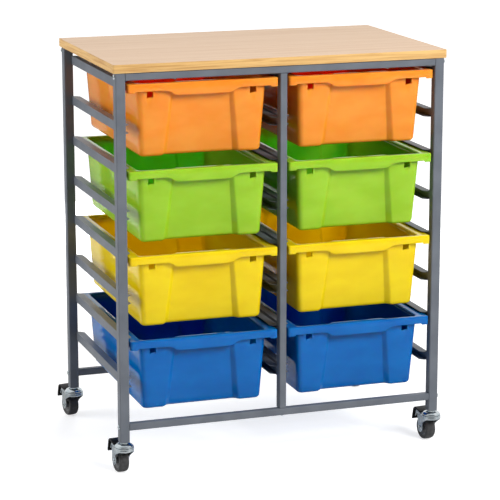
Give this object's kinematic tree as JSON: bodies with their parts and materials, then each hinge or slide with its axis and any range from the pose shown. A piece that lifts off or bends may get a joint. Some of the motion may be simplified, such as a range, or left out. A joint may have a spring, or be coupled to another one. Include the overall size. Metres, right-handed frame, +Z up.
{
  "type": "tote tray trolley",
  "caption": "Classroom storage trolley: a square-tube steel frame with channel runners, pull-out plastic trays, a beech worktop and braked swivel castors.",
  "frame": {"origin": "centre of the whole trolley's footprint at floor level, castors and pedals included", "axes": "+Z up, -Y out of the front, where the trays pull out, and +X to the right seen from the front"},
  "size_m": [0.7193, 0.49, 0.837],
  "materials": {
    "frame": "satin grey powder coat",
    "board": "matt beech laminate",
    "edging": "satin beech-coloured edging",
    "zinc": "bright zinc plate",
    "tyre": "dark grey, satin",
    "hub": "dark moulded plastic",
    "pedal": "black moulded plastic",
    "orange_plastic": "glossy moulded orange",
    "green_plastic": "glossy moulded green",
    "yellow_plastic": "glossy moulded yellow",
    "blue_plastic": "glossy moulded blue"
  },
  "bodies": {
    "frame": {"side_frame_left": "frame", "side_frame_right": "frame", "centre_frame": "frame", "rail_bottom_front": "frame", "rail_bottom_rear": "frame", "rail_top_front": "frame", "rail_top_rear": "frame", "frame_bolt_bottom_front_left": "zinc", "frame_bolt_bottom_front_right": "zinc", "frame_bolt_bottom_rear_left": "zinc", "frame_bolt_bottom_rear_right": "zinc", "frame_bolt_top_front_left": "zinc", "frame_bolt_top_front_right": "zinc", "frame_bolt_top_rear_left": "zinc", "frame_bolt_top_rear_right": "zinc", "centre_post_screw_front": "zinc", "centre_post_screw_rear": "zinc", "worktop_board": "board", "worktop_edging": "edging", "castor_stem_front_left": "zinc", "castor_ball_ring_front_left": "zinc", "castor_stem_front_right": "zinc", "castor_ball_ring_front_right": "zinc", "castor_stem_rear_left": "zinc", "castor_ball_ring_rear_left": "zinc", "castor_stem_rear_right": "zinc", "castor_ball_ring_rear_right": "zinc"},
    "tray_orange_left": {"tray_orange_left": "orange_plastic"},
    "tray_orange_right": {"tray_orange_right": "orange_plastic"},
    "tray_green_left": {"tray_green_left": "green_plastic"},
    "tray_green_right": {"tray_green_right": "green_plastic"},
    "tray_yellow_left": {"tray_yellow_left": "yellow_plastic"},
    "tray_yellow_right": {"tray_yellow_right": "yellow_plastic"},
    "tray_blue_left": {"tray_blue_left": "blue_plastic"},
    "tray_blue_right": {"tray_blue_right": "blue_plastic"},
    "fork_front_left": {"castor_fork_front_left": "zinc", "castor_axle_front_left": "zinc"},
    "wheel_front_left": {"castor_tyre_front_left": "tyre", "castor_hub_front_left": "hub"},
    "brake_front_left": {"brake_lever_front_left": "zinc", "brake_pedal_front_left": "pedal"},
    "fork_front_right": {"castor_fork_front_right": "zinc", "castor_axle_front_right": "zinc"},
    "wheel_front_right": {"castor_tyre_front_right": "tyre", "castor_hub_front_right": "hub"},
    "brake_front_right": {"brake_lever_front_right": "zinc", "brake_pedal_front_right": "pedal"},
    "fork_rear_left": {"castor_fork_rear_left": "zinc", "castor_axle_rear_left": "zinc"},
    "wheel_rear_left": {"castor_tyre_rear_left": "tyre", "castor_hub_rear_left": "hub"},
    "brake_rear_left": {"brake_lever_rear_left": "zinc", "brake_pedal_rear_left": "pedal"},
    "fork_rear_right": {"castor_fork_rear_right": "zinc", "castor_axle_rear_right": "zinc"},
    "wheel_rear_right": {"castor_tyre_rear_right": "tyre", "castor_hub_rear_right": "hub"},
    "brake_rear_right": {"brake_lever_rear_right": "zinc", "brake_pedal_rear_right": "pedal"}
  },
  "joints": [
    {"name": "tray_orange_left_slide", "type": "slide", "parent": "frame", "child": "tray_orange_left", "axis": [0, -1, 0], "range_m": [0, 0.4]},
    {"name": "tray_orange_right_slide", "type": "slide", "parent": "frame", "child": "tray_orange_right", "axis": [0, -1, 0], "range_m": [0, 0.4]},
    {"name": "tray_green_left_slide", "type": "slide", "parent": "frame", "child": "tray_green_left", "axis": [0, -1, 0], "range_m": [0, 0.4]},
    {"name": "tray_green_right_slide", "type": "slide", "parent": "frame", "child": "tray_green_right", "axis": [0, -1, 0], "range_m": [0, 0.4]},
    {"name": "tray_yellow_left_slide", "type": "slide", "parent": "frame", "child": "tray_yellow_left", "axis": [0, -1, 0], "range_m": [0, 0.4]},
    {"name": "tray_yellow_right_slide", "type": "slide", "parent": "frame", "child": "tray_yellow_right", "axis": [0, -1, 0], "range_m": [0, 0.4]},
    {"name": "tray_blue_left_slide", "type": "slide", "parent": "frame", "child": "tray_blue_left", "axis": [0, -1, 0], "range_m": [0, 0.4]},
    {"name": "tray_blue_right_slide", "type": "slide", "parent": "frame", "child": "tray_blue_right", "axis": [0, -1, 0], "range_m": [0, 0.4]},
    {"name": "front_left_swivel", "type": "hinge", "parent": "frame", "child": "fork_front_left", "pos_m": [-0.33306, -0.22882, 0.05859], "axis": [0, 0, 1], "continuous": true},
    {"name": "front_left_roll", "type": "hinge", "parent": "fork_front_left", "child": "wheel_front_left", "pos_m": [-0.33489, -0.2079, 0.02479], "axis": [0.9962, 0.0872, 0], "continuous": true},
    {"name": "front_left_brake", "type": "hinge", "parent": "fork_front_left", "child": "brake_front_left", "pos_m": [-0.33528, -0.20341, 0.05239], "axis": [-0.9962, -0.0872, 0], "range_deg": [0, 12]},
    {"name": "front_right_swivel", "type": "hinge", "parent": "frame", "child": "fork_front_right", "pos_m": [0.34194, -0.22882, 0.05859], "axis": [0, 0, 1], "continuous": true},
    {"name": "front_right_roll", "type": "hinge", "parent": "fork_front_right", "child": "wheel_front_right", "pos_m": [0.34011, -0.2079, 0.02479], "axis": [0.9962, 0.0872, 0], "continuous": true},
    {"name": "front_right_brake", "type": "hinge", "parent": "fork_front_right", "child": "brake_front_right", "pos_m": [0.33972, -0.20341, 0.05239], "axis": [-0.9962, -0.0872, 0], "range_deg": [0, 12]},
    {"name": "rear_left_swivel", "type": "hinge", "parent": "frame", "child": "fork_rear_left", "pos_m": [-0.33306, 0.18118, 0.05859], "axis": [0, 0, 1], "continuous": true},
    {"name": "rear_left_roll", "type": "hinge", "parent": "fork_rear_left", "child": "wheel_rear_left", "pos_m": [-0.33634, 0.20193, 0.02479], "axis": [0.9877, 0.1564, 0], "continuous": true},
    {"name": "rear_left_brake", "type": "hinge", "parent": "fork_rear_left", "child": "brake_rear_left", "pos_m": [-0.33704, 0.20637, 0.05239], "axis": [-0.9877, -0.1564, 0], "range_deg": [0, 12]},
    {"name": "rear_right_swivel", "type": "hinge", "parent": "frame", "child": "fork_rear_right", "pos_m": [0.34194, 0.18118, 0.05859], "axis": [0, 0, 1], "continuous": true},
    {"name": "rear_right_roll", "type": "hinge", "parent": "fork_rear_right", "child": "wheel_rear_right", "pos_m": [0.33939, 0.20203, 0.02479], "axis": [0.9925, 0.1219, 0], "continuous": true},
    {"name": "rear_right_brake", "type": "hinge", "parent": "fork_rear_right", "child": "brake_rear_right", "pos_m": [0.33884, 0.20649, 0.05239], "axis": [-0.9925, -0.1219, 0], "range_deg": [0, 12]}
  ]
}
